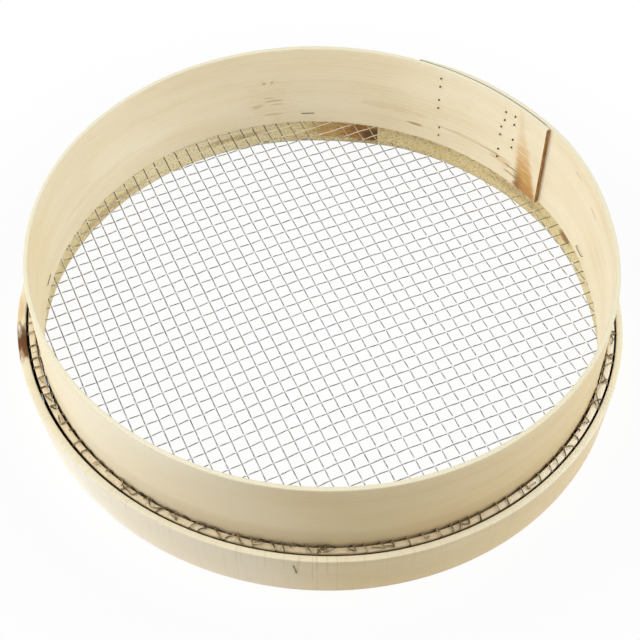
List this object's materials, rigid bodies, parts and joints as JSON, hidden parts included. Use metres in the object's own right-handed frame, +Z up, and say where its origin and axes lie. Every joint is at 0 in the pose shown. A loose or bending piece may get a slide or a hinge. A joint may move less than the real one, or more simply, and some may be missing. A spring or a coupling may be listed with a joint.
{
  "type": "wooden riddle sieve",
  "caption": "Round bent-wood sieve: a tall lapped hoop over a coarse wire screen that two low hoops clamp, held by staples. For sifting soil, grain or meal by hand.",
  "frame": {"origin": "centre of the bottom of the part's box, on the ground under the middle of the screen", "axes": "+Z up along the hoops' axis; the picture looks along +Y from above, with +X to the right"},
  "size_m": [0.4392, 0.4393, 0.106],
  "materials": {
    "hoop_wood": "bare, lightly planed",
    "filler_wood": "bare, rough sawn",
    "screen_wire": "dull zinc coating",
    "staple_wire": "dull"
  },
  "bodies": {
    "root": {"main_hoop": "hoop_wood", "filler_hoop": "filler_wood", "outer_hoop": "hoop_wood", "warp_wires": "screen_wire", "weft_wires": "screen_wire", "mesh_hem": "screen_wire", "lap_staple_1": "staple_wire", "lap_staple_2": "staple_wire", "lap_staple_3": "staple_wire", "lap_staple_4": "staple_wire", "lap_staple_5": "staple_wire", "lap_staple_6": "staple_wire", "lap_staple_7": "staple_wire", "lap_staple_8": "staple_wire", "inner_staple_1": "staple_wire", "inner_staple_2": "staple_wire", "inner_staple_3": "staple_wire", "inner_staple_4": "staple_wire", "inner_staple_5": "staple_wire", "front_staple": "staple_wire", "band_staple_1": "staple_wire", "band_staple_2": "staple_wire", "band_staple_3": "staple_wire", "band_staple_4": "staple_wire"}
  },
  "joints": []
}
